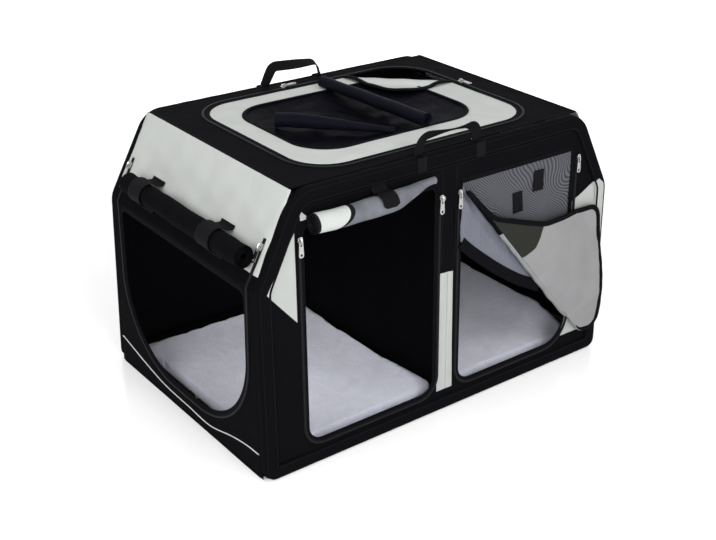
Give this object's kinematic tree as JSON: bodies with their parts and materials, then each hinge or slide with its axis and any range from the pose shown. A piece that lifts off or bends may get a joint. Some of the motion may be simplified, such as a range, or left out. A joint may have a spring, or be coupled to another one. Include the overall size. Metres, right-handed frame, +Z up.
{
  "type": "soft pet crate",
  "caption": "Folding soft pet crate: cloth cabin on a steel tube frame, split by a partition, with rolled zip doors, a roof hatch, floor pads and webbing handles.",
  "frame": {"origin": "centre of the footprint, on the surface that the crate stands on", "axes": "+X along the long front face to the right as seen from the front, +Y from the front face to the back, +Z up"},
  "size_m": [0.9227, 0.6169, 0.633],
  "materials": {
    "black_cloth": "woven nylon, matt",
    "webbing": "ribbed black webbing",
    "pale_cloth": "woven pale grey nylon, matt",
    "grey_mesh": "fine grey mesh",
    "dark_mesh": "fine dark mesh",
    "fleece": "short pile fleece",
    "steel": "satin tube",
    "bright_metal": "bright plated zinc",
    "zip_tape": "black zip teeth and tape"
  },
  "bodies": {
    "front_frame": {"front_hoop": "steel", "front_sleeve": "black_cloth", "front_panel": "black_cloth", "floor_panel": "black_cloth", "roof_panel": "black_cloth", "partition": "black_cloth", "left_wall": "black_cloth", "right_wall": "black_cloth", "left_slope": "pale_cloth", "right_slope": "pale_cloth", "left_end_zip": "zip_tape", "right_end_zip": "zip_tape", "front_left_zip": "zip_tape", "front_right_zip": "zip_tape", "front_left_roll": "grey_mesh", "front_hold_tab": "webbing", "front_right_door": "grey_mesh", "left_end_roll": "black_cloth", "end_strap_front": "webbing", "end_strap_back": "webbing", "hatch_zip": "zip_tape"},
    "back_frame": {"back_hoop": "steel", "back_sleeve": "black_cloth", "back_panel": "black_cloth"},
    "arm_lower_left_front": {"arm_lower_left_front": "steel"},
    "arm_lower_left_rear": {"arm_lower_left_rear": "steel"},
    "arm_lower_right_front": {"arm_lower_right_front": "steel"},
    "arm_lower_right_rear": {"arm_lower_right_rear": "steel"},
    "arm_upper_left_front": {"arm_upper_left_front": "steel"},
    "arm_upper_left_rear": {"arm_upper_left_rear": "steel"},
    "arm_upper_right_front": {"arm_upper_right_front": "steel"},
    "arm_upper_right_rear": {"arm_upper_right_rear": "steel"},
    "hatch": {"hatch_ring": "pale_cloth", "hatch_window": "dark_mesh", "hatch_cover_roll": "dark_mesh", "hatch_side_roll": "dark_mesh"},
    "hatch_corner": {"hatch_corner": "pale_cloth"},
    "front_right_flap": {"front_right_flap": "grey_mesh"},
    "right_end_door": {"right_end_door": "dark_mesh"},
    "pad_left": {"pad_left": "fleece"},
    "pad_right": {"pad_right": "fleece"},
    "front_handle": {"front_handle": "webbing"},
    "back_handle": {"back_handle": "webbing"},
    "slider_front_left_1": {"slider_front_left_1": "bright_metal"},
    "pull_front_left_1": {"pull_front_left_1": "bright_metal"},
    "slider_front_left_2": {"slider_front_left_2": "bright_metal"},
    "pull_front_left_2": {"pull_front_left_2": "bright_metal"},
    "slider_front_right_1": {"slider_front_right_1": "bright_metal"},
    "pull_front_right_1": {"pull_front_right_1": "bright_metal"},
    "slider_front_right_2": {"slider_front_right_2": "bright_metal"},
    "pull_front_right_2": {"pull_front_right_2": "bright_metal"},
    "slider_end_1": {"slider_end_1": "bright_metal"},
    "pull_end_1": {"pull_end_1": "bright_metal"},
    "slider_end_2": {"slider_end_2": "bright_metal"},
    "pull_end_2": {"pull_end_2": "bright_metal"},
    "slider_hatch_1": {"slider_hatch_1": "bright_metal"},
    "pull_hatch_1": {"pull_hatch_1": "bright_metal"},
    "slider_hatch_2": {"slider_hatch_2": "bright_metal"},
    "pull_hatch_2": {"pull_hatch_2": "bright_metal"}
  },
  "joints": [
    {"name": "fold", "type": "hinge", "parent": "front_frame", "child": "arm_lower_left_front", "pos_m": [-0.436, -0.236, 0.022], "axis": [1, 0, 0], "range_deg": [0, 86], "deforming": ["roof_panel", "floor_panel", "partition", "left_wall", "right_wall", "left_slope", "right_slope", "left_end_zip", "right_end_zip", "left_end_roll", "end_strap_front", "end_strap_back", "hatch_zip", "hatch_ring", "hatch_window", "hatch_cover_roll", "hatch_side_roll", "hatch_corner", "right_end_door", "pad_left", "pad_right"]},
    {"name": "lower_left_knee", "type": "hinge", "parent": "arm_lower_left_front", "child": "arm_lower_left_rear", "pos_m": [-0.436, 0, 0.022], "axis": [1, 0, 0], "range_deg": [-172, 0]},
    {"name": "lower_right_front_turn", "type": "hinge", "parent": "front_frame", "child": "arm_lower_right_front", "pos_m": [0.436, -0.236, 0.022], "axis": [1, 0, 0], "range_deg": [0, 86]},
    {"name": "lower_right_knee", "type": "hinge", "parent": "arm_lower_right_front", "child": "arm_lower_right_rear", "pos_m": [0.436, 0, 0.022], "axis": [1, 0, 0], "range_deg": [-172, 0]},
    {"name": "upper_left_front_turn", "type": "hinge", "parent": "front_frame", "child": "arm_upper_left_front", "pos_m": [-0.322, -0.236, 0.552], "axis": [1, 0, 0], "range_deg": [-86, 0]},
    {"name": "upper_left_knee", "type": "hinge", "parent": "arm_upper_left_front", "child": "arm_upper_left_rear", "pos_m": [-0.322, 0, 0.552], "axis": [1, 0, 0], "range_deg": [0, 172]},
    {"name": "upper_right_front_turn", "type": "hinge", "parent": "front_frame", "child": "arm_upper_right_front", "pos_m": [0.322, -0.236, 0.552], "axis": [1, 0, 0], "range_deg": [-86, 0]},
    {"name": "upper_right_knee", "type": "hinge", "parent": "arm_upper_right_front", "child": "arm_upper_right_rear", "pos_m": [0.322, 0, 0.552], "axis": [1, 0, 0], "range_deg": [0, 172]},
    {"name": "back_frame_turn", "type": "hinge", "parent": "arm_lower_left_rear", "child": "back_frame", "pos_m": [-0.436, 0.236, 0.022], "axis": [1, 0, 0], "range_deg": [0, 86]},
    {"name": "hatch_lift", "type": "hinge", "parent": "front_frame", "child": "hatch", "pos_m": [0, -0.214, 0.575], "axis": [1, 0, 0], "range_deg": [0, 110]},
    {"name": "hatch_corner_fold", "type": "hinge", "parent": "hatch", "child": "hatch_corner", "pos_m": [0.1965, 0.132, 0.57515], "axis": [-0.7373, 0.6755, 0], "range_deg": [0, 165]},
    {"name": "front_corner_fold", "type": "hinge", "parent": "front_frame", "child": "front_right_flap", "pos_m": [0.1965, -0.29059, 0.29486], "axis": [0.6353, -0.0322, -0.7716], "range_deg": [0, 150]},
    {"name": "right_end_door_lift", "type": "hinge", "parent": "front_frame", "child": "right_end_door", "pos_m": [0.455, 0, 0.3895], "axis": [0, -1, 0], "range_deg": [0, 100]},
    {"name": "pad_left_lift", "type": "slide", "parent": "front_frame", "child": "pad_left", "axis": [0, 0, 1], "range_m": [0, 0.2]},
    {"name": "pad_right_lift", "type": "slide", "parent": "front_frame", "child": "pad_right", "axis": [0, 0, 1], "range_m": [0, 0.2]},
    {"name": "front_handle_tip", "type": "hinge", "parent": "front_frame", "child": "front_handle", "pos_m": [0, -0.26399, 0.5763], "axis": [1, 0, 0], "range_deg": [-60, 75]},
    {"name": "back_handle_tip", "type": "hinge", "parent": "back_frame", "child": "back_handle", "pos_m": [0, 0.26399, 0.5763], "axis": [-1, 0, 0], "range_deg": [-60, 75]},
    {"name": "slider_front_left_1_run", "type": "slide", "parent": "front_frame", "child": "slider_front_left_1", "axis": [0, 0.0417, 0.9991], "range_m": [-0.37, 0]},
    {"name": "pull_front_left_1_turn", "type": "hinge", "parent": "slider_front_left_1", "child": "pull_front_left_1", "pos_m": [-0.36, -0.28243, 0.47968], "axis": [-1, 0, 0], "range_deg": [0, 165]},
    {"name": "slider_front_left_2_run", "type": "slide", "parent": "front_frame", "child": "slider_front_left_2", "axis": [0, 0.0417, 0.9991], "range_m": [-0.37, 0]},
    {"name": "pull_front_left_2_turn", "type": "hinge", "parent": "slider_front_left_2", "child": "pull_front_left_2", "pos_m": [-0.024, -0.28243, 0.47968], "axis": [-1, 0, 0], "range_deg": [0, 165]},
    {"name": "slider_front_right_1_run", "type": "slide", "parent": "front_frame", "child": "slider_front_right_1", "axis": [0, 0.0417, 0.9991], "range_m": [-0.37, 0]},
    {"name": "pull_front_right_1_turn", "type": "hinge", "parent": "slider_front_right_1", "child": "pull_front_right_1", "pos_m": [0.024, -0.28243, 0.47968], "axis": [-1, 0, 0], "range_deg": [0, 165]},
    {"name": "slider_front_right_2_run", "type": "slide", "parent": "front_frame", "child": "slider_front_right_2", "axis": [0, 0.0417, 0.9991], "range_m": [-0.37, 0]},
    {"name": "pull_front_right_2_turn", "type": "hinge", "parent": "slider_front_right_2", "child": "pull_front_right_2", "pos_m": [0.36, -0.28243, 0.47968], "axis": [-1, 0, 0], "range_deg": [0, 165]},
    {"name": "slider_end_1_run", "type": "slide", "parent": "front_frame", "child": "slider_end_1", "axis": [0.4534, 0, 0.8913], "range_m": [-0.05, 0]},
    {"name": "pull_end_1_turn", "type": "hinge", "parent": "slider_end_1", "child": "pull_end_1", "pos_m": [-0.42628, -0.246, 0.4749], "axis": [0, 1, 0], "range_deg": [0, 165]},
    {"name": "slider_end_2_run", "type": "slide", "parent": "back_frame", "child": "slider_end_2", "axis": [0.4534, 0, 0.8913], "range_m": [-0.05, 0]},
    {"name": "pull_end_2_turn", "type": "hinge", "parent": "slider_end_2", "child": "pull_end_2", "pos_m": [-0.42628, 0.246, 0.4749], "axis": [0, 1, 0], "range_deg": [0, 165]},
    {"name": "slider_hatch_1_run", "type": "slide", "parent": "front_frame", "child": "slider_hatch_1", "axis": [-1, 0, 0], "range_m": [-0.2, 0.1]},
    {"name": "pull_hatch_1_turn", "type": "hinge", "parent": "slider_hatch_1", "child": "pull_hatch_1", "pos_m": [-0.05, 0.224, 0.58245], "axis": [0, -1, 0], "range_deg": [0, 165]},
    {"name": "slider_hatch_2_run", "type": "slide", "parent": "front_frame", "child": "slider_hatch_2", "axis": [0, 1, 0], "range_m": [-0.12, 0.08]},
    {"name": "pull_hatch_2_turn", "type": "hinge", "parent": "slider_hatch_2", "child": "pull_hatch_2", "pos_m": [0.296, 0.028, 0.58245], "axis": [-1, 0, 0], "range_deg": [0, 165]}
  ],
  "couplings": [
    {"joint": "lower_left_knee", "follows": "fold", "ratio": -2},
    {"joint": "lower_right_front_turn", "follows": "fold", "ratio": 1},
    {"joint": "lower_right_knee", "follows": "fold", "ratio": -2},
    {"joint": "upper_left_front_turn", "follows": "fold", "ratio": -1},
    {"joint": "upper_left_knee", "follows": "fold", "ratio": 2},
    {"joint": "upper_right_front_turn", "follows": "fold", "ratio": -1},
    {"joint": "upper_right_knee", "follows": "fold", "ratio": 2},
    {"joint": "back_frame_turn", "follows": "fold", "ratio": 1}
  ]
}
